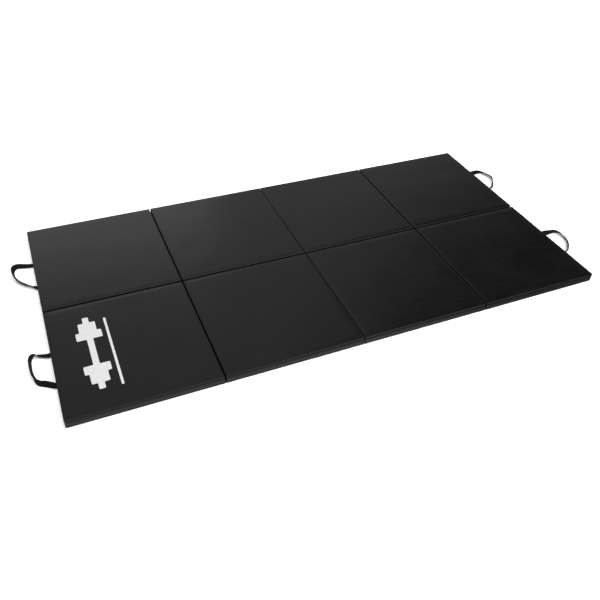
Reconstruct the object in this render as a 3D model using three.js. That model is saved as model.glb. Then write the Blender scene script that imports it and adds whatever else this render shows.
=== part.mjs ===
// A folding gym mat: eight square foam panels in vinyl covers, two rows (a and b) of four columns (1 to 4).
// Millimetres, +Z up. The origin is on the floor under the middle of the mat, X runs along the rows, and
// row a is on the +Y side. The mat lies flat. Every row folds like an accordion across its three cross
// folds, and row b folds over row a about the line between the rows.
import * as THREE from "three";

// Driving dimensions.
const PITCH = 610; // panel to panel, both ways
const COLUMNS = 4;
const THICKNESS = 38; // floor to top of cover
const OPEN_GAP = 5; // cross folds 1-2 and 3-4, hinged at the underside, so open on top
const TIGHT_GAP = 2; // cross fold 2-3, hinged at the top
const ROW_GAP = 8; // between the rows, hinged at the top of column 1
const CORNER_RADIUS = 9;
const COVER = 1.2; // vinyl cover
const CLEAR = 0.3; // between pieces that touch
const STRIP = 0.8; // hinge strip in an open gap
const TIGHT_STRIP = 0.5; // hinge strip in the tight gap
const STRIP_LEG = 14; // height of a hinge strip's legs, which are sewn to the panels' ends
const WEBBING_WIDTH = 25;
const WEBBING_THICKNESS = 2.5;
const HANDLE_HALF_SPREAD = 85; // middle of the handle to the middle of a leg
const HANDLE_REACH = 104; // panel end to the middle of the webbing at the furthest point
const HANDLE_HEIGHT = 15; // floor to the middle of the webbing
const HANDLE_ROUNDNESS = 2.5; // exponent of the loop's superellipse: 2 is an ellipse
const HANDLE_ROOT_GAP = 1.6; // panel end to the line that the handle swings about
const FLAT_END = 30; // the webbing lies flat this far out of the seam
const TWIST_END = 58; // and stands on its edge from here on
const STRAP_STEPS = 30;

const HALF_LENGTH = (PITCH * COLUMNS) / 2;
const STRIP_INSET = CORNER_RADIUS + 5; // a hinge strip stops short of the panels' rounded corners
const CORNER_SEGMENTS = 4;
const ROWS = [
  { name: "a", side: 1 },
  { name: "b", side: -1 },
];
const FOLDS = [
  { columns: "12", x: -PITCH, gap: OPEN_GAP },
  { columns: "23", x: 0, gap: TIGHT_GAP },
  { columns: "34", x: PITCH, gap: OPEN_GAP },
];

const coverMaterial = new THREE.MeshStandardMaterial({ color: 0x323233, roughness: 0.55, metalness: 0 });
const bandMaterial = new THREE.MeshStandardMaterial({ color: 0x393a3b, roughness: 0.55, metalness: 0 });
const foamMaterial = new THREE.MeshStandardMaterial({ color: 0xe4e3da, roughness: 0.95, metalness: 0 });
const stripMaterial = new THREE.MeshStandardMaterial({ color: 0x1c1c1d, roughness: 0.6, metalness: 0 });
const webbingMaterial = new THREE.MeshStandardMaterial({ color: 0x0d0d0e, roughness: 0.85, metalness: 0 });

const mat = new THREE.Group();

function addPiece(name, geometry, material) {
  const mesh = new THREE.Mesh(geometry, material);
  mesh.name = name;
  mat.add(mesh);
  return mesh;
}

// A rectangle with round corners, moved in from its edges by an inset.
function traceRoundedRectangle(path, box, inset) {
  const [x0, y0] = [box.x0 + inset, box.y0 + inset];
  const [x1, y1] = [box.x1 - inset, box.y1 - inset];
  const r = CORNER_RADIUS - inset;
  path.moveTo(x0 + r, y0);
  path.lineTo(x1 - r, y0);
  path.absarc(x1 - r, y0 + r, r, -Math.PI / 2, 0);
  path.lineTo(x1, y1 - r);
  path.absarc(x1 - r, y1 - r, r, 0, Math.PI / 2);
  path.lineTo(x0 + r, y1);
  path.absarc(x0 + r, y1 - r, r, Math.PI / 2, Math.PI);
  path.lineTo(x0, y0 + r);
  path.absarc(x0 + r, y0 + r, r, Math.PI, Math.PI * 1.5);
  return path;
}

// A slab of a rounded outline, from one height to another.
function slab(shape, zLow, zHigh) {
  const geometry = new THREE.ExtrudeGeometry(shape, {
    depth: zHigh - zLow,
    bevelEnabled: false,
    curveSegments: CORNER_SEGMENTS,
  });
  return geometry.translate(0, 0, zLow);
}

// The outline box of a panel: half of each gap is taken off the side that faces it.
function panelBox(column, side) {
  const left = column === 1 ? 0 : FOLDS[column - 2].gap / 2;
  const right = column === COLUMNS ? 0 : FOLDS[column - 1].gap / 2;
  const x = -HALF_LENGTH + (column - 1) * PITCH;
  const [near, far] = [ROW_GAP / 2, PITCH];
  return {
    x0: x + left,
    x1: x + PITCH - right,
    y0: side > 0 ? near : -far,
    y1: side > 0 ? far : -near,
  };
}

// One panel: a foam block inside a top cover, a bottom cover and a side band sewn between them.
function addPanel(column, row) {
  const box = panelBox(column, row.side);
  const label = row.name + column;
  const outline = traceRoundedRectangle(new THREE.Shape(), box, 0);
  const band = traceRoundedRectangle(new THREE.Shape(), box, 0);
  band.holes.push(traceRoundedRectangle(new THREE.Path(), box, COVER));
  const foam = traceRoundedRectangle(new THREE.Shape(), box, COVER + CLEAR);
  const inside = [COVER + CLEAR, THICKNESS - COVER - CLEAR];

  addPiece(`foam_${label}`, slab(foam, ...inside), foamMaterial);
  addPiece(`top_cover_${label}`, slab(outline, THICKNESS - COVER, THICKNESS), coverMaterial);
  addPiece(`side_band_${label}`, slab(band, ...inside), bandMaterial);
  addPiece(`bottom_cover_${label}`, slab(outline, 0, COVER), coverMaterial);
}

// The section of a hinge strip, across the gap: a web on the hinged face and a leg down each panel's end.
// It opens towards +Y of the shape, so its web is the lower side.
function stripSection(gap, thickness) {
  const outer = gap / 2 - CLEAR;
  const inner = outer - thickness;
  const shape = new THREE.Shape();
  shape.moveTo(-outer, 0);
  shape.lineTo(outer, 0);
  shape.lineTo(outer, STRIP_LEG);
  shape.lineTo(inner, STRIP_LEG);
  shape.lineTo(inner, thickness);
  shape.lineTo(-inner, thickness);
  shape.lineTo(-inner, STRIP_LEG);
  shape.lineTo(-outer, STRIP_LEG);
  shape.closePath();
  return shape;
}

// A hinge strip of a given length, made along +Y with its gap along X and its web on the floor side.
function stripGeometry(gap, thickness, length) {
  const options = { depth: length, bevelEnabled: false };
  const geometry = new THREE.ExtrudeGeometry(stripSection(gap, thickness), options);
  return geometry.rotateX(Math.PI / 2).translate(0, length / 2, 0);
}

// Turned over, so that the web is at the top.
function atTop(geometry) {
  return geometry.rotateY(Math.PI).translate(0, 0, THICKNESS - CLEAR);
}

function atFloor(geometry) {
  return geometry.translate(0, 0, CLEAR);
}

function addCrossFoldStrip(fold, row) {
  const length = PITCH - ROW_GAP / 2 - 2 * STRIP_INSET;
  const middle = (row.side * (PITCH + ROW_GAP / 2)) / 2;
  const tight = fold.gap === TIGHT_GAP;
  const plain = stripGeometry(fold.gap, tight ? TIGHT_STRIP : STRIP, length);
  const placed = tight ? atTop(plain) : atFloor(plain);
  addPiece(`hinge_strip_${row.name}${fold.columns}`, placed.translate(fold.x, middle, 0), stripMaterial);
}

function addRowStrip() {
  const box = panelBox(1, 1);
  const length = box.x1 - box.x0 - 2 * STRIP_INSET;
  const geometry = atTop(stripGeometry(ROW_GAP, STRIP, length)).rotateZ(Math.PI / 2);
  addPiece("row_hinge_strip", geometry.translate((box.x0 + box.x1) / 2, 0, 0), stripMaterial);
}

// The line of a carrying handle: half a superellipse out of the panel's end and back. Webbing comes out
// of the seam lying flat, and turns a quarter turn to stand on its edge round the loop.
class HandleLoop extends THREE.Curve {
  getPoint(t, target = new THREE.Vector3()) {
    const angle = (t - 0.5) * Math.PI;
    const power = 2 / HANDLE_ROUNDNESS;
    const x = HANDLE_REACH * Math.pow(Math.max(Math.cos(angle), 0), power);
    const y = HANDLE_HALF_SPREAD * Math.sign(angle) * Math.pow(Math.abs(Math.sin(angle)), power);
    return target.set(x, y, 0);
  }

  // The shape that is swept has its width along its X, which the frame's normal carries.
  computeFrenetFrames(segments) {
    const frames = { tangents: [], normals: [], binormals: [] };
    const length = this.getLength();
    const up = new THREE.Vector3(0, 0, 1);
    for (let i = 0; i <= segments; i++) {
      const u = i / segments;
      const tangent = u === 0 ? new THREE.Vector3(1, 0, 0) : this.getTangentAt(u);
      if (u === 1) tangent.set(-1, 0, 0);
      const flat = new THREE.Vector3().crossVectors(up, tangent).normalize();
      const fromEnd = Math.min(u, 1 - u) * length;
      const turn = (THREE.MathUtils.smoothstep(fromEnd, FLAT_END, TWIST_END) * Math.PI) / 2;
      const width = flat.multiplyScalar(Math.cos(turn)).addScaledVector(up, Math.sin(turn));
      frames.tangents.push(tangent);
      frames.normals.push(width);
      frames.binormals.push(new THREE.Vector3().crossVectors(tangent, width));
    }
    return frames;
  }
}

function addHandle(column, row) {
  const [w, t] = [WEBBING_WIDTH / 2, WEBBING_THICKNESS / 2];
  const section = new THREE.Shape();
  section.moveTo(-w, -t);
  section.lineTo(w, -t);
  section.lineTo(w, t);
  section.lineTo(-w, t);
  section.closePath();
  const geometry = new THREE.ExtrudeGeometry(section, {
    steps: STRAP_STEPS,
    extrudePath: new HandleLoop(),
    bevelEnabled: false,
  });
  const outward = column === 1 ? -1 : 1;
  const handle = addPiece(`handle_${row.name}${column}`, geometry, webbingMaterial);
  handle.rotation.z = outward > 0 ? 0 : Math.PI;
  handle.position.set(
    outward * (HALF_LENGTH + HANDLE_ROOT_GAP),
    (row.side * (PITCH + ROW_GAP / 2)) / 2,
    HANDLE_HEIGHT,
  );
}

for (const row of ROWS) {
  for (let column = 1; column <= COLUMNS; column++) addPanel(column, row);
  for (const fold of FOLDS) addCrossFoldStrip(fold, row);
  addHandle(1, row);
  addHandle(COLUMNS, row);
}
addRowStrip();

export default mat;
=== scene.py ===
"""The looks of a folding gym mat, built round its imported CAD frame.

Eight foam panels in black vinyl covers lie flat in two rows, a (far) and b (near), of four columns.
Each cover is a cloth simulation: it is held along its seams and swells out a little between them.
Vinyl strips hinge the panels, and four webbing handles stand out of the short ends.
Metres, +Z up. Sizes come from the frame's boxes and from the named values below.
"""
import math
import random

import bmesh
import bpy
import numpy as np
from mathutils import Matrix, Vector
from mathutils.bvhtree import BVHTree


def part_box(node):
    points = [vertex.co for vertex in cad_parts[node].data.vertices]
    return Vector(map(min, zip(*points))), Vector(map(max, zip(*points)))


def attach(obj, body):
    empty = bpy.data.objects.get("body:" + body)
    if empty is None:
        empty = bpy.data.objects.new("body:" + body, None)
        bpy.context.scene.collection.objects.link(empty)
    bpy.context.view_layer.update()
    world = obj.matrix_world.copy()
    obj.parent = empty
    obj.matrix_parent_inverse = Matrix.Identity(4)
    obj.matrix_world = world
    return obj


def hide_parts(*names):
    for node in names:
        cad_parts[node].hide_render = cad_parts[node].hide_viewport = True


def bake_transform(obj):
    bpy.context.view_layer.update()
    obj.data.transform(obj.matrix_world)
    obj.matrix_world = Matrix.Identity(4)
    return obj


MM = 0.001
ROWS = "ab"
COLUMNS = (1, 2, 3, 4)

# The camera: where it stands, which way it looks in degrees, its lens in mm and its shift.
CAMERA_AT = (-1.0986, -2.1330, 1.8841)
CAMERA_AZIMUTH = 23.73
CAMERA_DOWN = 42.10
CAMERA_ROLL = 2.56
CAMERA_LENS = 37.65
CAMERA_SHIFT = (0.0460, 0.0005)

# Covers. An edge profile lists (inset from the panel's outline, distance from the nearer face), in mm.
CORNER_RADIUS = 7 * MM  # at the mat's own corners
INNER_CORNER_RADIUS = 2.6 * MM  # where panels meet
TOP_EDGE = [
    (0.3, 2.6), (0.5, 1.7), (1.0, 1.0), (1.7, 0.6), (2.4, 0.6), (3.2, 0.9), (4.2, 1.15), (5.2, 1.2),
    (7, 1.2),
]
BAND_EDGE = [
    (0.3, 3.9), (0.9, 4.7), (2.0, 5.2), (2.2, 6.1), (1.5, 7.2), (1.0, 8.8), (0.7, 11.5), (0.6, 15),
]
UNDER_EDGE = [
    (0.3, 2.2), (0.4, 1.4), (0.8, 0.8), (1.4, 0.5), (2.2, 0.4), (3.2, 0.35), (4.2, 0.3), (5.2, 0.3),
    (7, 0.25),
]
BAND_FREE = 6  # mm from the face: the band's rings nearer to it are sewn down
UNDER_SHIFT = 0.9  # mm: the band's lower half lies this much nearer its face than the upper half
GRID_STEP = 10 * MM
GRID_EASE = [12 * MM, 19 * MM, 27 * MM]  # grid lines between the edge profile and the even grid
EVEN_EDGE = 30 * MM  # the grid lines nearer than this to an edge lie the same in x and y
ON_SIDE = 1 * MM  # a point this close to the outline is on that side

# How the covers swell and crease.
CROWN = 1.15 * MM
BAND_BULGE = 0.55 * MM
ROW_BULGE = 3.7 * MM  # how far the two rows' sides swell towards each other, below their strip
TIGHT_BULGE = 0.85 * MM  # the same in the tight middle fold
OPEN_BULGE = 2.2 * MM  # the same in the open outer folds, above their strips
LOW_BULGE = ((4 * MM, 8 * MM, 11 * MM, 15 * MM, 20 * MM), (0.0, 0.7, 1.0, 1.0, 0.0))  # share by height
HIGH_BULGE = ((14.5 * MM, 22 * MM, 27 * MM, 31.5 * MM), (0.0, 1.0, 1.0, 0.0))
BULGE_FADE = (2.8 * MM, 8 * MM)  # away from a corner, the swelling starts and is full
WAVE_SHARE = 0.4  # brings a sum of random waves back to about the size of one
PUCKER = 0.22 * MM
PUCKER_WAVES = 5
PUCKER_LENGTHS = (0.017, 0.048)  # metres
PUCKER_REACH = 14 * MM  # how far in the puckers run
PUCKER_START = 3 * MM
BAND_PUCKER = 6 * MM  # the band puckers as the top does this far from its edge
UNEVEN = 0.22 * MM
UNEVEN_WAVES = 6
UNEVEN_LENGTHS = (0.14, 0.42)  # metres
UNEVEN_FADE = (0.008, 0.05)  # metres: from an edge, where it starts, and how much further to its full size
SWELL_FRAMES = 14
SWELL_GAIN = 1.6  # how fast the simulated swelling nears its limit
TOP_LAYER = 3.2 * MM  # points this close to the panel's top belong to its upper face
FLOOR_CLEARANCE = 0.15 * MM
MOST_PROUD = 0.35 * MM  # above the CAD panel's top

# Vinyl: its base colour where it is darkest and lightest, its least and most roughness, and its IOR.
COVER_VINYL = {
    "dark": (0.0025, 0.0025, 0.0027),
    "light": (0.0045, 0.0045, 0.0047),
    "rough_low": 0.24,
    "rough_high": 0.33,
    "ior": 1.38,
}
HINGE_VINYL = {
    "dark": (0.0015, 0.0015, 0.0016),
    "light": (0.003, 0.003, 0.0031),
    "rough_low": 0.5,
    "rough_high": 0.62,
    "ior": 1.25,
}

# Foam cores.
FOAM_INSET = 5 * MM
FOAM_ABOVE_UNDERSIDE = 2 * MM
FOAM_BELOW_TOP = 3.6 * MM
FOAM_CORNER_RADIUS = 4 * MM
FOAM_EDGE = 2.5 * MM

# Seam thread, in the crease under the top edge.
STITCH_PITCH = 6.2 * MM
STITCH_LENGTH = 4.4 * MM
STITCH_DEPTH = 5.65 * MM
STITCH_INSET = 1.55 * MM
STITCH_SLANT = 0.12 * MM
THREAD_RADIUS = 0.34 * MM

# Hinge strips.
FOLDS = {"12": False, "23": True, "34": False}  # columns: whether the fold is hinged at the top
SEAM_DEPTH = 5.6 * MM  # a top strip in a tight gap is sewn into the seam, this far down
ROW_STRIP_DEPTH = 9.5 * MM  # the row strip is sewn in this far down its wide gap
TOP_SAG = 0.5 * MM
BOTTOM_SAG = 1.2 * MM
ROW_SAG = 2 * MM
CROSSING_GAP = 0.8 * MM  # between the strips of the two rows, where they meet in the row gap
STRIP_RUN_ON = 12 * MM  # a strip runs on past its CAD strip, almost to the panels' ends
STRIP_THICKNESS = 0.8 * MM
STRIP_STEP = 12 * MM
STRIP_WOBBLE = 0.12 * MM
STRIP_WAVES = (0.06, 0.11, 0.23)  # their lengths in metres
STRIP_BEND = 0.9  # a share of its gap: it sets the two ends of a bend across a strip, and nothing uses those ends

# Handles. A line runs from the handle's far end to its near end: (out of the panel's end, along +Y
# from the handle's middle, turn of the webbing), in millimetres and degrees. The webbing lies flat at
# 0 and 180 degrees and stands on edge at 90. Above 90 its upper edge leans in towards the mat.
WEBBING_WIDTH = 25 * MM
WEBBING_THICKNESS = 2.0 * MM
WEBBING_STEPS = 130
HANDLES = {
    "a1": [(-4, 69, 0), (14, 70, 4), (34, 74, 12), (56, 79, 22), (74, 80, 32), (88, 66, 50), (93, 45, 64),
           (92, 20, 67), (86, -4, 62), (75, -30, 46), (60, -50, 38), (42, -70, 38), (24, -85, 50),
           (10, -94, 24), (-4, -103, 6)],
    "b1": [(-4, 78, 174), (10, 77, 172), (24, 80, 166), (38, 85, 157), (52, 90, 140), (66, 89, 98),
           (77, 79, 76), (82, 62, 70), (83, 40, 70), (83, 20, 70), (81, 0, 68), (78, -20, 62),
           (72, -37, 56), (64, -52, 16), (52, -64, -20), (36, -74, -30), (20, -84, -22), (8, -90, -8),
           (-4, -96, 0)],
    "a4": [(-4, 91, 0), (14, 91, 18), (34, 88, 44), (58, 85, 80), (78, 81, 112), (95, 73, 131),
           (106, 56, 134), (111, 36, 130), (113, 20, 126), (110, 2, 120), (101, -18, 112), (85, -40, 110),
           (66, -62, 112), (46, -77, 96), (26, -86, 40), (-4, -92, 0)],
    "b4": [(-4, 80, 0), (14, 78, 18), (34, 74, 44), (60, 68, 74), (80, 67, 92), (97, 63, 112), (110, 52, 127),
           (117, 38, 135), (118, 19, 140), (113, -2, 138), (104, -22, 132), (92, -40, 126), (77, -58, 120),
           (58, -75, 112), (36, -88, 60), (-4, -96, 0)],
}
ROOT_HEIGHT = 6 * MM  # the webbing's middle where it leaves the panel
ROOT_BEND = (-0.5 * MM, 9 * MM)  # a stretch out from the panel's end that sets the two ends of a bend at the webbing's root; nothing uses those ends

# The print: a plain dumbbell that lies along +Y, and a rule beside it.
MARK_X = (-1112 * MM, -1008 * MM)  # across the dumbbell
MARK_Y = (-503 * MM, -97 * MM)  # along it
MARK_CORNER = 5 * MM
GRIP_HALF_WIDTH = 12.5 * MM
SMALL_PLATE = 0.68  # its width as a share of the big plate's
PLATE_EDGES = (0.36, 0.58, 0.84)  # where the plates start, meet and end, as shares of half the length
RULE_X = (-989 * MM, -979 * MM)
RULE_Y = (-507 * MM, -122 * MM)
RULE_CORNER = 4 * MM
INK_LIFT = 0.12 * MM
INK_THICKNESS = 0.1 * MM
INK_STEP = 12 * MM
ABOVE_ALL = 0.2  # a height well over the mat

# The studio. Azimuth is measured from +Y towards +X, in degrees.
FLOOR_RADIUS = 30.0
FLOOR_SIDES = 96
FLOOR_WASH = 2.2  # strength of the light on the floor alone
DARK_SIDE = (62, 40)  # azimuth and elevation of the room's dark side
ROOM_LIGHT = [  # (degrees away from the dark side, brightness)
    (0, 0.0), (17, 0.0), (21, 0.36), (26, 0.6), (48, 0.56), (72, 0.38), (90, 0.3), (98, 0.04),
    (103, 0.55), (112, 0.85), (134, 0.92), (180, 0.95),
]
HORIZON_SHARE = 0.25  # the room's strength at the horizon
HORIZON_REACH = 0.45  # where it is back at its full strength, as the sine of the elevation
SOFTBOXES = [  # name, azimuth, elevation, distance, size, watts, the place it faces
    ("overhead", 195, 72, 4.5, (5.0, 5.0), 85, (0, -0.2, 0)),
    ("side_softbox", 128, 50, 4.6, (3.0, 3.0), 105, (-0.2, -0.2, 0)),
    ("back_softbox", 2, 31, 4.2, (3.0, 1.2), 10, (-0.9, 0.5, 0)),
]


def rng_for(name):
    return random.Random("mat " + name)


def direction(azimuth, elevation):
    """The way to a place in the room, from angles in degrees."""
    a, e = math.radians(azimuth), math.radians(elevation)
    return Vector((math.sin(a) * math.cos(e), math.cos(a) * math.cos(e), math.sin(e)))


# ---------------------------------------------------------------------------- mesh helpers


def place_in_scene(name, data):
    obj = bpy.data.objects.new(name, data)
    bpy.context.collection.objects.link(obj)
    return obj


def make_object(name, verts, faces, material, smooth=True):
    mesh = bpy.data.meshes.new(name)
    mesh.from_pydata([tuple(v) for v in verts], [], faces)
    mesh.validate()
    mesh.update()
    mesh.materials.append(material)
    mesh.polygons.foreach_set("use_smooth", [smooth] * len(mesh.polygons))
    return place_in_scene(name, mesh)


def object_from_bmesh(name, bm, material):
    mesh = bpy.data.meshes.new(name)
    bm.to_mesh(mesh)
    bm.free()
    mesh.materials.append(material)
    return place_in_scene(name, mesh)


def face_outward(obj):
    bm = bmesh.new()
    bm.from_mesh(obj.data)
    bmesh.ops.recalc_face_normals(bm, faces=bm.faces)
    bm.to_mesh(obj.data)
    bm.free()


def grid_faces(rows, columns, start=0, closed=False, flip=False):
    """Quads over a rows by columns block of vertices. A closed one joins its last column to its first."""
    faces = []
    for i in range(rows - 1):
        for j in range(columns if closed else columns - 1):
            k = (j + 1) % columns
            a, b = start + i * columns + j, start + i * columns + k
            c, d = a + columns, b + columns
            faces.append((a, b, d, c) if not flip else (a, c, d, b))
    return faces


def add_attribute(obj, name, values):
    layer = obj.data.attributes.new(name, "FLOAT_VECTOR", "POINT")
    layer.data.foreach_set("vector", np.asarray(values, np.float32).ravel())


# ---------------------------------------------------------------------------- material helpers


class Nodes:
    """A material's node tree, with short calls to add and join nodes."""

    def __init__(self, name):
        self.material = bpy.data.materials.new(name)
        self.material.use_nodes = True
        self.tree = self.material.node_tree
        self.tree.nodes.clear()
        out = self.add("ShaderNodeOutputMaterial")
        self.shader = self.add("ShaderNodeBsdfPrincipled")
        self.join(self.shader, "BSDF", out, "Surface")

    def add(self, kind, settings=None, **inputs):
        node = self.tree.nodes.new(kind)
        for key, value in (settings or {}).items():
            setattr(node, key, value)
        for key, value in inputs.items():
            node.inputs[key.replace("_", " ")].default_value = value
        return node

    def join(self, a, output, b, socket):
        self.tree.links.new(a.outputs[output], b.inputs[socket])

    def set(self, **values):
        for key, value in values.items():
            self.shader.inputs[key.replace("_", " ")].default_value = value

    def coordinates(self, scale=(1, 1, 1), turn=0.0, attribute=None):
        """The object's own coordinates, or a vector attribute of its points."""
        if attribute:
            source = self.add("ShaderNodeAttribute", {"attribute_name": attribute})
            output = "Vector"
        else:
            source = self.add("ShaderNodeTexCoord")
            output = "Object"
        mapping = self.add("ShaderNodeMapping")
        mapping.inputs["Scale"].default_value = scale
        mapping.inputs["Rotation"].default_value = (0, 0, turn)
        self.join(source, output, mapping, "Vector")
        return mapping

    def noise(self, mapping, scale, detail=2.0, roughness=0.5):
        node = self.add("ShaderNodeTexNoise", Scale=scale, Detail=detail, Roughness=roughness)
        self.join(mapping, "Vector", node, "Vector")
        return node

    def voronoi(self, mapping, scale, feature):
        node = self.add("ShaderNodeTexVoronoi", {"feature": feature}, Scale=scale)
        self.join(mapping, "Vector", node, "Vector")
        return node

    def ramp(self, source, output, stops):
        """A colour ramp. Each stop is (position, grey level or colour)."""
        node = self.add("ShaderNodeValToRGB")
        elements = node.color_ramp.elements
        while len(elements) < len(stops):
            elements.new(0.5)
        for element, (position, value) in zip(elements, stops):
            element.position = position
            element.color = (*value, 1) if hasattr(value, "__len__") else (value, value, value, 1)
        self.join(source, output, node, "Fac")
        return node

    def math(self, operation, a, a_out, b, b_out):
        node = self.add("ShaderNodeMath", {"operation": operation})
        self.join(a, a_out, node, 0)
        self.join(b, b_out, node, 1)
        return node

    def range(self, source, output, low, high, from_low=0.0, from_high=1.0):
        node = self.add("ShaderNodeMapRange")
        self.join(source, output, node, "Value")
        node.inputs["From Min"].default_value = from_low
        node.inputs["From Max"].default_value = from_high
        node.inputs["To Min"].default_value = low
        node.inputs["To Max"].default_value = high
        return node

    def bump(self, source, output, strength, distance, under=None):
        node = self.add("ShaderNodeBump", Strength=strength, Distance=distance)
        self.join(source, output, node, "Height")
        if under is not None:
            self.join(under, "Normal", node, "Normal")
        return node


def vinyl_material(name, dark, light, rough_low, rough_high, ior):
    """Black coated vinyl: a fine pebbled grain, faint slanting calender streaks, and soft cloudy wear."""
    n = Nodes(name)
    place = n.coordinates()
    streak_place = n.coordinates(scale=(1.0, 9.0, 1.0), turn=math.radians(38))
    cloud = n.noise(place, 3.2, detail=4, roughness=0.55)
    streaks = n.noise(streak_place, 7.0, detail=5, roughness=0.6)
    mixed = n.math("MULTIPLY", cloud, "Fac", streaks, "Fac")
    tone = n.ramp(mixed, "Value", [(0.12, dark), (0.42, light)])
    n.join(tone, "Color", n.shader, "Base Color")
    scuffs = n.noise(streak_place, 26.0, detail=3, roughness=0.7)
    blend = n.math("ADD", mixed, "Value", scuffs, "Fac")
    rough = n.range(blend, "Value", rough_low, rough_high, 0.45, 1.0)
    n.join(rough, "Result", n.shader, "Roughness")
    pebbles = n.voronoi(place, 620.0, "SMOOTH_F1")
    fine = n.noise(place, 1500.0, detail=2)
    ripple = n.noise(place, 11.0, detail=2)
    grain = n.bump(pebbles, "Distance", strength=0.13, distance=0.00035)
    grain = n.bump(fine, "Fac", strength=0.06, distance=0.0002, under=grain)
    grain = n.bump(ripple, "Fac", strength=0.25, distance=0.0012, under=grain)
    n.join(grain, "Normal", n.shader, "Normal")
    n.set(IOR=ior)
    return n.material


def webbing_material():
    """Woven black webbing: ribs across it, broken up by ribs along it, with a soft yarn sheen."""
    n = Nodes("webbing")
    place = n.coordinates(attribute="strap")
    ribs = n.add("ShaderNodeTexWave", {"wave_type": "BANDS", "bands_direction": "X"}, Scale=310.0)
    n.join(place, "Vector", ribs, "Vector")
    ends = n.add("ShaderNodeTexWave", {"wave_type": "BANDS", "bands_direction": "Y"}, Scale=190.0)
    n.join(place, "Vector", ends, "Vector")
    weave = n.math("MULTIPLY", ribs, "Fac", ends, "Fac")
    fibre = n.noise(n.coordinates(scale=(1, 6, 1), attribute="strap"), 900.0, detail=2)
    tone = n.ramp(weave, "Value", [(0.0, (0.0008, 0.0008, 0.0009)), (0.8, (0.004, 0.004, 0.0043))])
    n.join(tone, "Color", n.shader, "Base Color")
    relief = n.bump(weave, "Value", strength=0.8, distance=0.0006)
    relief = n.bump(fibre, "Fac", strength=0.3, distance=0.0003, under=relief)
    n.join(relief, "Normal", n.shader, "Normal")
    rough = n.range(fibre, "Fac", 0.5, 0.75)
    n.join(rough, "Result", n.shader, "Roughness")
    n.set(IOR=1.3, Sheen_Weight=0.015, Sheen_Roughness=0.45)
    return n.material


def thread_material():
    n = Nodes("seam_thread")
    twist = n.noise(n.coordinates(), 2400.0, detail=1)
    tone = n.ramp(twist, "Fac", [(0.3, 0.003), (0.7, 0.012)])
    n.join(tone, "Color", n.shader, "Base Color")
    relief = n.bump(twist, "Fac", strength=0.5, distance=0.0002)
    n.join(relief, "Normal", n.shader, "Normal")
    n.set(Roughness=0.6, IOR=1.35)
    return n.material


def foam_material():
    """Off-white closed-cell foam with its cut bubbles."""
    n = Nodes("closed_cell_foam")
    place = n.coordinates()
    cells = n.voronoi(place, 420.0, "DISTANCE_TO_EDGE")
    tone = n.ramp(cells, "Distance", [(0.0, (0.86, 0.85, 0.80)), (0.25, (0.74, 0.73, 0.68))])
    n.join(tone, "Color", n.shader, "Base Color")
    relief = n.bump(cells, "Distance", strength=0.5, distance=0.0006)
    n.join(relief, "Normal", n.shader, "Normal")
    n.set(Roughness=0.9, Subsurface_Weight=0.1)
    n.shader.inputs["Subsurface Radius"].default_value = (0.003, 0.003, 0.002)
    return n.material


def ink_material():
    """White screen ink: slightly uneven, with the vinyl's grain showing through."""
    n = Nodes("white_ink")
    place = n.coordinates()
    patchy = n.noise(place, 60.0, detail=4)
    tone = n.ramp(patchy, "Fac", [(0.3, 0.78), (0.7, 0.84)])
    n.join(tone, "Color", n.shader, "Base Color")
    pebbles = n.voronoi(place, 620.0, "SMOOTH_F1")
    relief = n.bump(pebbles, "Distance", strength=0.25, distance=0.0003)
    n.join(relief, "Normal", n.shader, "Normal")
    n.set(Roughness=0.5)
    return n.material


def floor_material():
    n = Nodes("studio_floor")
    haze = n.noise(n.coordinates(), 1.2, detail=3)
    tone = n.ramp(haze, "Fac", [(0.3, 0.93), (0.7, 0.95)])
    n.join(tone, "Color", n.shader, "Base Color")
    n.set(Roughness=0.9)
    n.shader.inputs["Specular IOR Level"].default_value = 0.0
    return n.material


# ---------------------------------------------------------------------------- covers


def rounded(u, v, radius):
    """Bends the corner of a square grid round an arc. u and v are distances from two edges that meet."""
    d, c = min(u, v), abs(v - u)
    left = radius - d
    if left <= 0 or c >= left:
        return u, v
    angle = math.radians(45) * (1 - c / left)
    far, near = radius - left * math.cos(angle), radius - left * math.sin(angle)
    return (far, near) if v >= u else (near, far)


def mirrored(lines, size):
    """Lines in from both edges, as (distance from the nearer edge, which edge)."""
    low = [(d, 0) for d in lines]
    middle = [(size / 2, 0)]
    high = [(d, 1) for d in reversed(lines)]
    return low + middle + high


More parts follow.
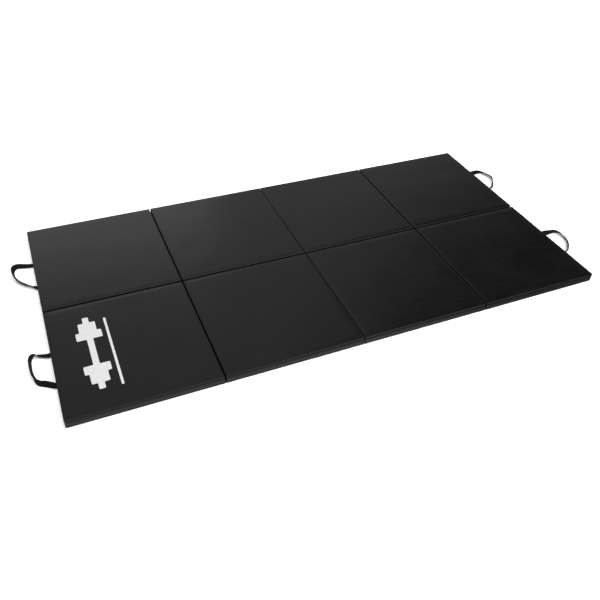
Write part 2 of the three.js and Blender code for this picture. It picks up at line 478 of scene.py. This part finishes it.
class Cover:
    """One panel's vinyl cover as a closed mesh: a top grid, rings down the side, and an underside grid."""

    def __init__(self, label, low, high):
        self.label, self.low, self.high = label, Vector(low), Vector(high)
        self.size = self.high - self.low
        self.rng = rng_for(label)
        self.verts, self.faces = [], []
        self.free, self.limits = [], []  # for each point: whether it swells, and how far at most
        self.waves = [
            (self.rng.uniform(*PUCKER_LENGTHS), self.rng.uniform(0, math.tau), self.rng.uniform(0.5, 1))
            for _ in range(PUCKER_WAVES)
        ]
        self.build()

    def lines(self, profile, size):
        """The grid lines' distances from an edge: those of the edge profile, then an even grid."""
        insets = [inset * MM for inset, _ in profile] + GRID_EASE
        start, end = insets[-1], size / 2
        count = round((end - start) / GRID_STEP)
        insets += [start + (end - start) * k / count for k in range(1, count)]
        return insets

    def radius_at(self, x_side, y_side):
        at_end = self.label[1] == ("1" if x_side == 0 else "4")
        at_side = self.label[0] == ("b" if y_side == 0 else "a")
        return CORNER_RADIUS if at_end and at_side else INNER_CORNER_RADIUS

    def place(self, u, x_side, v, y_side):
        u, v = rounded(u, v, self.radius_at(x_side, y_side))
        x = self.low.x + u if x_side == 0 else self.high.x - u
        y = self.low.y + v if y_side == 0 else self.high.y - v
        return x, y

    def pucker(self, x, y, d):
        """Small gathers that run in from the seam thread."""
        along = x + y
        wave = sum(a * math.sin(math.tau * along / length + phase) for length, phase, a in self.waves)
        return PUCKER * WAVE_SHARE * wave * math.exp(-d / PUCKER_REACH)

    def height(self, profile, d):
        """How far the face lies from the panel's face plane, at a distance from the nearest edge."""
        insets = [inset * MM for inset, _ in profile]
        drops = [drop * MM for _, drop in profile]
        return float(np.interp(d, insets, drops))

    def add_face_grid(self, profile, upper):
        lines = self.lines(profile, self.size.x)
        xs = mirrored(lines, self.size.x)
        stretch = self.size.y / self.size.x
        ease = self.ease(stretch)
        scaled = [d if d < EVEN_EDGE else EVEN_EDGE + (d - EVEN_EDGE) * ease for d in lines]
        ys = mirrored(scaled, self.size.y)
        start, n = len(self.verts), len(xs)
        for v, y_side in ys:
            for u, x_side in xs:
                d = min(u, v)
                x, y = self.place(u, x_side, v, y_side)
                drop = self.height(profile, d)
                ripple = self.pucker(x, y, d) if d > PUCKER_START else 0.0
                z = self.high.z - drop + ripple if upper else self.low.z + drop
                self.verts.append((x, y, z))
                self.free.append(upper and d > profile[-1][0] * MM - 1e-6)
                self.limits.append(CROWN)
        self.faces += grid_faces(n, n, start, flip=not upper)
        return start, n

    def ease(self, stretch):
        """The grid's inner part takes up the difference between the panel's two sides."""
        half = self.size.x / 2
        return (half * stretch - EVEN_EDGE) / (half - EVEN_EDGE)

    def rim(self, start, n):
        """The grid's outer vertices, anticlockwise from above."""
        bottom = [start + j for j in range(n - 1)]
        right = [start + i * n + n - 1 for i in range(n - 1)]
        top = [start + (n - 1) * n + j for j in range(n - 1, 0, -1)]
        left = [start + i * n for i in range(n - 1, 0, -1)]
        return bottom + right + top + left

    def add_ring(self, rim, base_inset, inset, z, free):
        """Copies a rim, moved in or out square to the outline, at another height."""
        points = [Vector(self.verts[k]) for k in rim]
        start = len(self.verts)
        count = len(points)
        for k, p in enumerate(points):
            ahead, behind = points[(k + 1) % count], points[k - 1]
            run = Vector((ahead.x - behind.x, ahead.y - behind.y, 0)).normalized()
            inward = Vector((-run.y, run.x, 0))
            q = p + inward * ((inset - base_inset) * MM - self.side_bulge(p, z))
            ripple = self.pucker(p.x, p.y, BAND_PUCKER) * (0.6 if free else 0.25)
            self.verts.append((q.x, q.y, z + ripple))
            self.free.append(free)
            self.limits.append(BAND_BULGE)
        return list(range(start, start + count))

    def side_bulge(self, p, z):
        """A side that faces a near neighbour swells towards it, clear of the strip in the gap."""
        row, column = self.label
        inner_y = self.low.y if row == "a" else self.high.y
        run = min(p.x - self.low.x, self.high.x - p.x)
        if abs(p.y - inner_y) < ON_SIDE:
            amount, shape = ROW_BULGE, LOW_BULGE
        elif run < ON_SIDE:
            other = int(column) + (1 if p.x > self.low.x + self.size.x / 2 else -1)
            fold = "".join(sorted(column + str(other)))
            if fold not in FOLDS:
                return 0.0
            run = min(p.y - self.low.y, self.high.y - p.y)
            amount, shape = (TIGHT_BULGE, LOW_BULGE) if FOLDS[fold] else (OPEN_BULGE, HIGH_BULGE)
        else:
            return 0.0
        by_height = float(np.interp(z - self.low.z, *shape))
        by_place = float(np.interp(run, BULGE_FADE, (0, 1)))
        return amount * by_height * by_place

    def build(self):
        top, n = self.add_face_grid(TOP_EDGE, True)
        base = TOP_EDGE[0][0]
        top_rim = self.rim(top, n)
        rings = [top_rim]
        for inset, drop in BAND_EDGE:
            rings.append(self.add_ring(top_rim, base, inset, self.high.z - drop * MM, drop > BAND_FREE))
        for inset, drop in reversed(BAND_EDGE):
            lift = (drop - UNDER_SHIFT) * MM
            rings.append(self.add_ring(top_rim, base, inset, self.low.z + lift, drop > BAND_FREE))
        under, n = self.add_face_grid(UNDER_EDGE, False)
        rings.append(self.rim(under, n))
        for upper, lower in zip(rings, rings[1:]):
            count = len(upper)
            for k in range(count):
                m = (k + 1) % count
                self.faces.append((upper[k], lower[k], lower[m], upper[m]))

    def swell(self, obj):
        """Blows the cover out between its seams with a cloth simulation: its rest points and their moves."""
        rest = np.array([v.co for v in obj.data.vertices])
        free = np.array(self.free)
        group = obj.vertex_groups.new(name="sewn")
        group.add([int(k) for k in np.nonzero(~free)[0]], 1.0, "REPLACE")
        cloth = obj.modifiers.new("cloth", "CLOTH")
        s = cloth.settings
        s.vertex_group_mass = "sewn"
        s.quality = 4
        s.mass = 0.35
        s.tension_stiffness = s.compression_stiffness = 25
        s.shear_stiffness = 15
        s.bending_stiffness = 2.0
        s.use_pressure = True
        s.uniform_pressure_force = 4.0
        s.effector_weights.gravity = 0.0
        cloth.collision_settings.use_collision = False
        cloth.point_cache.frame_start = 1
        cloth.point_cache.frame_end = SWELL_FRAMES
        scene = bpy.context.scene
        for f in range(1, SWELL_FRAMES + 1):
            scene.frame_set(f)
        graph = bpy.context.evaluated_depsgraph_get()
        swollen = obj.evaluated_get(graph).to_mesh()
        now = np.array([v.co for v in swollen.vertices])
        obj.evaluated_get(graph).to_mesh_clear()
        obj.modifiers.remove(cloth)
        obj.vertex_groups.remove(group)
        scene.frame_set(1)
        return rest, now - rest

    def settle(self, obj):
        """Puts the swollen shape on the cover, each point's swelling held under its own limit."""
        rest, moved = self.swell(obj)
        reach = np.linalg.norm(moved, axis=1)
        free = np.array(self.free)
        limits = np.array(self.limits)
        level = np.quantile(reach[free], 0.5)
        kept = limits * np.tanh(reach / max(level, 1e-9) * SWELL_GAIN)
        scale = np.where(reach > 1e-9, kept / np.maximum(reach, 1e-9), 0.0)
        co = rest + moved * scale[:, None] * free[:, None]
        co[:, 2] += self.unevenness(rest) * (rest[:, 2] > self.high.z - TOP_LAYER)
        co[:, 2] = np.clip(co[:, 2], self.low.z + FLOOR_CLEARANCE, self.high.z + MOST_PROUD)
        obj.data.vertices.foreach_set("co", co.astype(np.float32).ravel())
        obj.data.update()

    def edge_distance(self, co):
        return np.minimum(
            np.minimum(co[:, 0] - self.low.x, self.high.x - co[:, 0]),
            np.minimum(co[:, 1] - self.low.y, self.high.y - co[:, 1]),
        )

    def unevenness(self, co):
        """Slow hollows and rises of the foam, fading out at the edges."""
        total = np.zeros(len(co))
        for _ in range(UNEVEN_WAVES):
            a, length = self.rng.uniform(0, math.tau), self.rng.uniform(*UNEVEN_LENGTHS)
            phase = self.rng.uniform(0, math.tau)
            run = co[:, 0] * math.cos(a) + co[:, 1] * math.sin(a)
            total += np.sin(run * math.tau / length + phase)
        start, further = UNEVEN_FADE
        fade = np.clip((self.edge_distance(co) - start) / further, 0, 1)
        return UNEVEN * WAVE_SHARE * total * fade


def panel_box(label):
    """The outline box of a panel, from its covers in the frame."""
    top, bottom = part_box("top_cover_" + label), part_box("bottom_cover_" + label)
    return Vector(bottom[0]), Vector(top[1])


def make_cover(label, material):
    low, high = panel_box(label)
    cover = Cover(label, low, high)
    obj = make_object("cover_" + label, cover.verts, cover.faces, material)
    cover.settle(obj)
    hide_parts("top_cover_" + label, "side_band_" + label, "bottom_cover_" + label)
    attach(obj, "panel_" + label)
    return cover, obj


# ---------------------------------------------------------------------------- foam cores


def make_foam(label, material):
    low, high = panel_box(label)
    bm = bmesh.new()
    bmesh.ops.create_cube(bm, size=1)
    lo = Vector((low.x + FOAM_INSET, low.y + FOAM_INSET, low.z + FOAM_ABOVE_UNDERSIDE))
    hi = Vector((high.x - FOAM_INSET, high.y - FOAM_INSET, high.z - FOAM_BELOW_TOP))
    bmesh.ops.scale(bm, vec=hi - lo, verts=bm.verts)
    bmesh.ops.translate(bm, vec=(hi + lo) / 2, verts=bm.verts)
    upright = [e for e in bm.edges if abs(e.verts[0].co.z - e.verts[1].co.z) > 1 * MM]
    bmesh.ops.bevel(bm, geom=upright, offset=FOAM_CORNER_RADIUS, segments=6, affect="EDGES")
    rims = [e for e in bm.edges if abs(e.verts[0].co.z - e.verts[1].co.z) < 1e-6]
    bmesh.ops.bevel(bm, geom=rims, offset=FOAM_EDGE, segments=3, affect="EDGES")
    obj = object_from_bmesh("foam_core_" + label, bm, material)
    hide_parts("foam_" + label)
    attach(obj, "panel_" + label)


# ---------------------------------------------------------------------------- seam thread


def stitch(verts, faces, a, b, out):
    """One stitch: a short thread from a to b that rises a little in the middle."""
    run = (b - a).normalized()
    side = run.cross(out).normalized()
    start = len(verts)
    # (share of the way, thickness and lift as shares of the thread's radius)
    profile = ((0.0, 0.25, -0.2), (0.2, 1.0, 0.25), (0.8, 1.0, 0.25), (1.0, 0.25, -0.2))
    sides = 4
    for share, fat, lift in profile:
        middle = a.lerp(b, share) + out * lift * THREAD_RADIUS
        for k in range(sides):
            angle = math.tau * (k + 0.5) / sides
            verts.append(middle + (side * math.cos(angle) + out * math.sin(angle)) * THREAD_RADIUS * fat)
    faces += grid_faces(len(profile), sides, start, closed=True)
    faces.append(tuple(start + k for k in reversed(range(sides))))
    end = start + (len(profile) - 1) * sides
    faces.append(tuple(end + k for k in range(sides)))


def outline_points(cover, inset, step=1.5 * MM):
    """Points round a panel's outline, anticlockwise, with the direction out of the panel."""
    corners = [(1, 0, -90), (1, 1, 0), (0, 1, 90), (0, 0, 180)]
    found = []
    for x_side, y_side, start in corners:
        r = cover.radius_at(x_side, y_side)
        cx = cover.low.x + r if x_side == 0 else cover.high.x - r
        cy = cover.low.y + r if y_side == 0 else cover.high.y - r
        for k in range(7):
            a = math.radians(start + 90 * k / 6)
            out = Vector((math.cos(a), math.sin(a), 0))
            found.append((Vector((cx, cy, 0)) + out * (r - inset), out))
    dense = []
    for (p, n), (q, m) in zip(found, found[1:] + found[:1]):
        count = max(1, round((q - p).length / step))
        dense += [(p.lerp(q, k / count), n.lerp(m, k / count).normalized()) for k in range(count)]
    return dense


def make_stitching(cover, material):
    """Stitches in the crease under the top seam, all round the panel."""
    z = cover.high.z - STITCH_DEPTH
    points = outline_points(cover, STITCH_INSET)
    verts, faces = [], []
    closed = points + points[:1]
    stops = [0.0]
    for (p, _), (q, _) in zip(closed, closed[1:]):
        stops.append(stops[-1] + (q - p).length)
    count = int(stops[-1] / STITCH_PITCH)

    def at(distance):
        k = min(int(np.searchsorted(stops, distance, side="right")) - 1, len(points) - 1)
        share = (distance - stops[k]) / max(stops[k + 1] - stops[k], 1e-9)
        return closed[k][0].lerp(closed[k + 1][0], share), closed[k][1]

    for k in range(count):
        centre = (k + 0.5) * STITCH_PITCH
        a, out = at(centre - STITCH_LENGTH / 2)
        b, _ = at(centre + STITCH_LENGTH / 2)
        slant = cover.rng.uniform(-STITCH_SLANT, STITCH_SLANT)
        a, b = (Vector((p.x, p.y, z + slant * s)) for p, s in ((a, 1), (b, -1)))
        stitch(verts, faces, a, b, out)
    obj = make_object("seam_stitching_" + cover.label, verts, faces, material)
    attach(obj, "panel_" + cover.label)


# ---------------------------------------------------------------------------- hinge strips


def strip_section(half_gap, thickness, leg, depth, sag, steps=9):
    """A strip's section across its gap, as (across, down from its face): down one leg, over, and back."""
    inner = half_gap - thickness
    over = []
    for k in range(steps):
        t = -1 + 2 * k / (steps - 1)
        dip = depth + sag * (1 - t * t)
        over.append((half_gap * t, dip))
    under = [(inner / half_gap * x, dip + thickness) for x, dip in reversed(over)]
    return [(-half_gap, leg), *over, (half_gap, leg), (inner, leg), *under, (-inner, leg)]


def make_strip(node, name, along, depth, sag, at_top, material):
    """A hinge strip as wide and high as its CAD strip, but longer."""
    low, high = (Vector(c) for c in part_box(node))
    across = 1 - along
    middle = (low + high) / 2
    half_gap = (high[across] - low[across]) / 2
    leg = high.z - low.z
    low[along] -= STRIP_RUN_ON
    high[along] += STRIP_RUN_ON
    if along == 1 and low.y > 0:
        low.y = CROSSING_GAP / 2
    elif along == 1:
        high.y = -CROSSING_GAP / 2
    thickness = min(STRIP_THICKNESS, half_gap * 0.55)
    section = strip_section(half_gap, thickness, leg, depth, sag)
    steps = round((high[along] - low[along]) / STRIP_STEP)
    verts = []
    rng = rng_for(name)
    phases = [rng.uniform(0, math.tau) for _ in STRIP_WAVES]
    for i in range(steps + 1):
        share = i / steps
        run = low[along] + (high[along] - low[along]) * share
        wave = sum(math.sin(run * math.tau / length + p) for length, p in zip(STRIP_WAVES, phases))
        for x, down in section:
            p = Vector((0, 0, 0))
            p[along] = run
            p[across] = middle[across] + x
            wobble = STRIP_WOBBLE * wave if down < leg * 0.6 else 0.0
            p.z = high.z - down - wobble * (down > 0.01 * MM) if at_top else low.z + down
            verts.append(p)
    n = len(section)
    faces = grid_faces(steps + 1, n, 0, closed=True)
    faces.append(tuple(reversed(range(n))))
    faces.append(tuple(steps * n + k for k in range(n)))
    obj = make_object(name, verts, faces, material)
    face_outward(obj)
    start, end = middle.copy(), middle.copy()
    start[across] = middle[across] - half_gap * STRIP_BEND
    end[across] = middle[across] + half_gap * STRIP_BEND
    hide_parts(node)
    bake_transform(obj)


def make_strips(material):
    """A strip along every cross fold, and one between the rows."""
    for row in ROWS:
        for columns, at_top in FOLDS.items():
            node, name = f"hinge_strip_{row}{columns}", f"fold_strip_{row}{columns}"
            depth, sag = (SEAM_DEPTH, TOP_SAG) if at_top else (0.0, BOTTOM_SAG)
            make_strip(node, name, 1, depth, sag, at_top, material)
    node, name = "row_hinge_strip", "row_fold_strip"
    make_strip(node, name, 0, ROW_STRIP_DEPTH, ROW_SAG, True, material)


# ---------------------------------------------------------------------------- handles


def catmull_rom(points, count):
    """Evenly spaced points on a smooth line through the given ones, and the line's length."""
    p = np.array(points, float)
    padded = np.vstack([2 * p[0] - p[1], p, 2 * p[-1] - p[-2]])
    dense = []
    for k in range(len(p) - 1):
        a, b, c, d = padded[k : k + 4]
        square, cube = 2 * a - 5 * b + 4 * c - d, 3 * b - a - 3 * c + d
        for t in np.arange(0, 1, 0.04):
            dense.append(0.5 * (2 * b + (c - a) * t + square * t**2 + cube * t**3))
    dense = np.array([*dense, p[-1]])
    steps = np.linalg.norm(np.diff(dense[:, :2], axis=0), axis=1)
    walked = np.concatenate([[0], np.cumsum(steps)])
    even = np.linspace(0, walked[-1], count)
    return np.stack([np.interp(even, walked, dense[:, k]) for k in range(dense.shape[1])], 1), walked[-1]


def webbing_section():
    """Points round the webbing's section, as (across, through), with slightly thicker selvedges."""
    half, thick = WEBBING_WIDTH / 2, WEBBING_THICKNESS / 2
    across = [-1, -0.97, -0.9, -0.82, -0.6, -0.3, 0, 0.3, 0.6, 0.82, 0.9, 0.97, 1]
    fat = [0.25, 0.8, 1.08, 0.92, 0.9, 0.94, 0.9, 0.94, 0.9, 0.92, 1.08, 0.8, 0.25]
    upper = [(half * x, thick * f) for x, f in zip(across, fat)]
    lower = [(half * x, -thick * f) for x, f in zip(reversed(across), reversed(fat))]
    return upper + lower


def make_handle(label, material):
    """One webbing loop that stays just clear of the floor."""
    node = "handle_" + label
    low, high = (Vector(c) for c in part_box(node))
    outward = -1 if label[1] == "1" else 1
    panel_low, panel_high = panel_box(label)
    face_x = panel_low.x if outward < 0 else panel_high.x
    centre = Vector((face_x, (low.y + high.y) / 2, (low.z + high.z) / 2))
    route = [(out * MM, along * MM, turn) for out, along, turn in HANDLES[label]]
    line, length = catmull_rom(route, WEBBING_STEPS)
    points = []
    for out, along, turn in line:
        height = math.hypot(ROOT_HEIGHT, WEBBING_WIDTH / 2 * math.sin(math.radians(turn)))
        points.append(Vector((centre.x + outward * out, centre.y + along, height)))
    section = webbing_section()
    verts, strap = [], []
    for k, p in enumerate(points):
        ahead, behind = points[min(k + 1, len(points) - 1)], points[max(k - 1, 0)]
        tangent = (ahead - behind).normalized()
        plan = Vector((tangent.x, tangent.y, 0)).normalized()
        away = Vector((plan.y, -plan.x, 0)) if outward < 0 else Vector((-plan.y, plan.x, 0))
        turn = math.radians(line[k][2])
        width = away * math.cos(turn) + Vector((0, 0, 1)) * math.sin(turn)
        width = (width - tangent * width.dot(tangent)).normalized()
        through = tangent.cross(width)
        for x, t in section:
            verts.append(p + width * x + through * t)
            strap.append((length * k / len(points), x, t))  # along, across and through the webbing
    n = len(section)
    faces = grid_faces(len(points), n, 0, closed=True)
    faces.append(tuple(reversed(range(n))))
    faces.append(tuple((len(points) - 1) * n + k for k in range(n)))
    obj = make_object("webbing_" + node, verts, faces, material)
    face_outward(obj)
    add_attribute(obj, "strap", strap)
    start, end = centre.copy(), centre.copy()
    start.x += outward * ROOT_BEND[0]
    end.x += outward * ROOT_BEND[1]
    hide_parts(node)
    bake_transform(obj)


# ---------------------------------------------------------------------------- printed mark


def dumbbell_outline():
    """The dumbbell's half widths, as (distance from its middle, half width), out to one end."""
    half = (MARK_Y[1] - MARK_Y[0]) / 2
    big = (MARK_X[1] - MARK_X[0]) / 2
    small = big * SMALL_PLATE
    start, meet, end = (half * share for share in PLATE_EDGES)
    return [
        (0, GRIP_HALF_WIDTH),
        (start, GRIP_HALF_WIDTH),
        (start, big),
        (meet, big),
        (meet, small),
        (end, small),
        (end, GRIP_HALF_WIDTH),
        (half, GRIP_HALF_WIDTH),
    ]


def round_corners(points, radius, segments=5):
    """A closed polygon with its corners turned into arcs."""
    made = []
    count = len(points)
    for k in range(count):
        before, here, after = points[k - 1], points[k], points[(k + 1) % count]
        a, b = (before - here), (after - here)
        if abs(a.normalized().cross(b.normalized())) < 1e-6:
            made.append(here)
            continue
        r = min(radius, a.length * 0.45, b.length * 0.45)
        p, q = here + a.normalized() * r, here + b.normalized() * r
        for s in range(segments + 1):
            t = s / segments
            made.append(p * (1 - t) ** 2 + here * 2 * t * (1 - t) + q * t**2)
    return made


def mark_polygon():
    """The dumbbell's outline: up its right side, and down its left."""
    middle = Vector((sum(MARK_X) / 2, sum(MARK_Y) / 2))
    steps = dumbbell_outline()
    right = [(w, -y) for y, w in reversed(steps[1:])] + [(w, y) for y, w in steps]
    left = [(-w, -y) for w, y in right]
    return round_corners([middle + Vector(p) for p in right + left], MARK_CORNER)


def rule_polygon():
    (left, right), (bottom, top) = RULE_X, RULE_Y
    corners = [(left, bottom), (right, bottom), (right, top), (left, top)]
    return round_corners([Vector(c) for c in corners], RULE_CORNER)


def make_ink(name, outline, cover_obj, material):
    """A thin sheet of ink over the cover, cut into small faces so that it follows the vinyl."""
    tree = BVHTree.FromObject(cover_obj, bpy.context.evaluated_depsgraph_get())
    bm = bmesh.new()
    bm.faces.new([bm.verts.new((p.x, p.y, 0)) for p in outline])
    xs, ys = [p.x for p in outline], [p.y for p in outline]
    for axis, low, high in ((0, min(xs), max(xs)), (1, min(ys), max(ys))):
        count = round((high - low) / INK_STEP)
        for k in range(1, count):
            at, normal = Vector((0, 0, 0)), Vector((0, 0, 0))
            at[axis] = low + (high - low) * k / count
            normal[axis] = 1
            geometry = bm.verts[:] + bm.edges[:] + bm.faces[:]
            bmesh.ops.bisect_plane(bm, geom=geometry, plane_co=at, plane_no=normal)
    bmesh.ops.triangulate(bm, faces=bm.faces)
    for v in bm.verts:
        hit = tree.ray_cast(Vector((v.co.x, v.co.y, ABOVE_ALL)), Vector((0, 0, -1)))
        v.co.z = hit[0].z + INK_LIFT
    raised = bmesh.ops.extrude_face_region(bm, geom=bm.faces[:])
    for v in (g for g in raised["geom"] if isinstance(g, bmesh.types.BMVert)):
        v.co.z += INK_THICKNESS
    bmesh.ops.recalc_face_normals(bm, faces=bm.faces)
    obj = object_from_bmesh(name, bm, material)
    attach(obj, "panel_b1")


# ---------------------------------------------------------------------------- studio


def make_camera():
    data = bpy.data.cameras.new("camera")
    data.sensor_width = 36
    data.lens = CAMERA_LENS
    data.shift_x, data.shift_y = CAMERA_SHIFT
    camera = place_in_scene("camera", data)
    turn = Matrix.Rotation(math.radians(-CAMERA_AZIMUTH), 4, "Z")
    tilt = Matrix.Rotation(math.radians(90 - CAMERA_DOWN), 4, "X")
    roll = Matrix.Rotation(math.radians(CAMERA_ROLL), 4, "Z")
    camera.matrix_world = Matrix.Translation(CAMERA_AT) @ turn @ tilt @ roll
    bpy.context.scene.camera = camera


def make_floor(material):
    """A round white floor, which isn't mirrored in the vinyl."""
    angles = [math.tau * k / FLOOR_SIDES for k in range(FLOOR_SIDES)]
    verts = [(FLOOR_RADIUS * math.cos(a), FLOOR_RADIUS * math.sin(a), 0) for a in angles]
    floor = make_object("studio_floor", verts, [tuple(range(FLOOR_SIDES))], material, smooth=False)
    floor.visible_glossy = False
    return floor


def area_light(name, azimuth, elevation, distance, size, energy, target):
    """A soft light that faces its target."""
    data = bpy.data.lights.new(name, "AREA")
    data.shape = "RECTANGLE"
    data.size, data.size_y = size
    data.energy = energy
    light = place_in_scene(name, data)
    way = direction(azimuth, elevation)
    light.location = Vector(target) + way * distance
    light.rotation_mode = "QUATERNION"
    light.rotation_quaternion = (-way).to_track_quat("-Z", "Y")


def make_world():
    """A white room with a dark side, dimmer towards its horizon, and a white backdrop for the camera."""
    world = bpy.data.worlds.new("studio")
    bpy.context.scene.world = world
    world.use_nodes = True
    tree = world.node_tree
    tree.nodes.clear()
    out = tree.nodes.new("ShaderNodeOutputWorld")
    mix = tree.nodes.new("ShaderNodeMixShader")
    path = tree.nodes.new("ShaderNodeLightPath")
    way = tree.nodes.new("ShaderNodeTexCoord")
    dot = tree.nodes.new("ShaderNodeVectorMath")
    dot.operation = "DOT_PRODUCT"
    dot.inputs[1].default_value = direction(*DARK_SIDE)
    ramp = tree.nodes.new("ShaderNodeValToRGB")
    ramp.color_ramp.interpolation = "EASE"
    elements = ramp.color_ramp.elements
    while len(elements) < len(ROOM_LIGHT):
        elements.new(0.5)
    for element, (angle, level) in zip(elements, sorted(ROOM_LIGHT, reverse=True)):
        element.position = (math.cos(math.radians(angle)) + 1) / 2
        element.color = (level, level, level, 1)
    nearness = tree.nodes.new("ShaderNodeMapRange")
    nearness.inputs["From Min"].default_value = -1
    axes = tree.nodes.new("ShaderNodeSeparateXYZ")
    steepness = tree.nodes.new("ShaderNodeMath")
    steepness.operation = "ABSOLUTE"
    strength = tree.nodes.new("ShaderNodeMapRange")
    strength.inputs["From Max"].default_value = HORIZON_REACH
    strength.inputs["To Min"].default_value = HORIZON_SHARE
    room = tree.nodes.new("ShaderNodeBackground")
    backdrop = tree.nodes.new("ShaderNodeBackground")
    backdrop.inputs["Color"].default_value = (1.0, 1.0, 1.0, 1)
    tree.links.new(way.outputs["Generated"], dot.inputs[0])
    tree.links.new(dot.outputs["Value"], nearness.inputs["Value"])
    tree.links.new(nearness.outputs["Result"], ramp.inputs["Fac"])
    tree.links.new(ramp.outputs["Color"], room.inputs["Color"])
    tree.links.new(way.outputs["Generated"], axes.inputs[0])
    tree.links.new(axes.outputs["Z"], steepness.inputs[0])
    tree.links.new(steepness.outputs[0], strength.inputs["Value"])
    tree.links.new(strength.outputs["Result"], room.inputs["Strength"])
    tree.links.new(path.outputs["Is Camera Ray"], mix.inputs["Fac"])
    tree.links.new(room.outputs[0], mix.inputs[1])
    tree.links.new(backdrop.outputs[0], mix.inputs[2])
    tree.links.new(mix.outputs[0], out.inputs["Surface"])


def make_floor_wash(floor):
    """An even light that falls on the floor alone, so that it runs into the backdrop without a line."""
    data = bpy.data.lights.new("floor_wash", "SUN")
    data.energy = FLOOR_WASH
    data.angle = math.radians(80)
    wash = place_in_scene("floor_wash", data)
    wash.location = (0, 0, 5)
    receivers = bpy.data.collections.new("floor_only")
    receivers.objects.link(floor)
    wash.light_linking.receiver_collection = receivers


# ---------------------------------------------------------------------------- the whole scene


def main():
    scene = bpy.context.scene
    scene.view_settings.view_transform = "Standard"
    make_camera()
    cover_vinyl = vinyl_material("cover_vinyl", **COVER_VINYL)
    hinge_vinyl = vinyl_material("hinge_vinyl", **HINGE_VINYL)
    webbing, thread, foam = webbing_material(), thread_material(), foam_material()
    covers = {}
    for row in ROWS:
        for column in COLUMNS:
            label = f"{row}{column}"
            cover, obj = make_cover(label, cover_vinyl)
            covers[label] = obj
            make_foam(label, foam)
            make_stitching(cover, thread)
    make_strips(hinge_vinyl)
    for label in HANDLES:
        make_handle(label, webbing)
    ink = ink_material()
    make_ink("printed_mark", mark_polygon(), covers["b1"], ink)
    make_ink("printed_rule", rule_polygon(), covers["b1"], ink)
    floor = make_floor(floor_material())
    make_world()
    for light in SOFTBOXES:
        area_light(*light)
    make_floor_wash(floor)


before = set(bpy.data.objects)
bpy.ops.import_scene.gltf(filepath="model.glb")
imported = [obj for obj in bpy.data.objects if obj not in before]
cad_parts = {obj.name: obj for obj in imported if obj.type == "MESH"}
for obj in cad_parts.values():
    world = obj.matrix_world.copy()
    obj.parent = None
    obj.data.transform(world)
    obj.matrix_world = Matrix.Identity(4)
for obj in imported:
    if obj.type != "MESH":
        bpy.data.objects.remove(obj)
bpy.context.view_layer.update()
main()
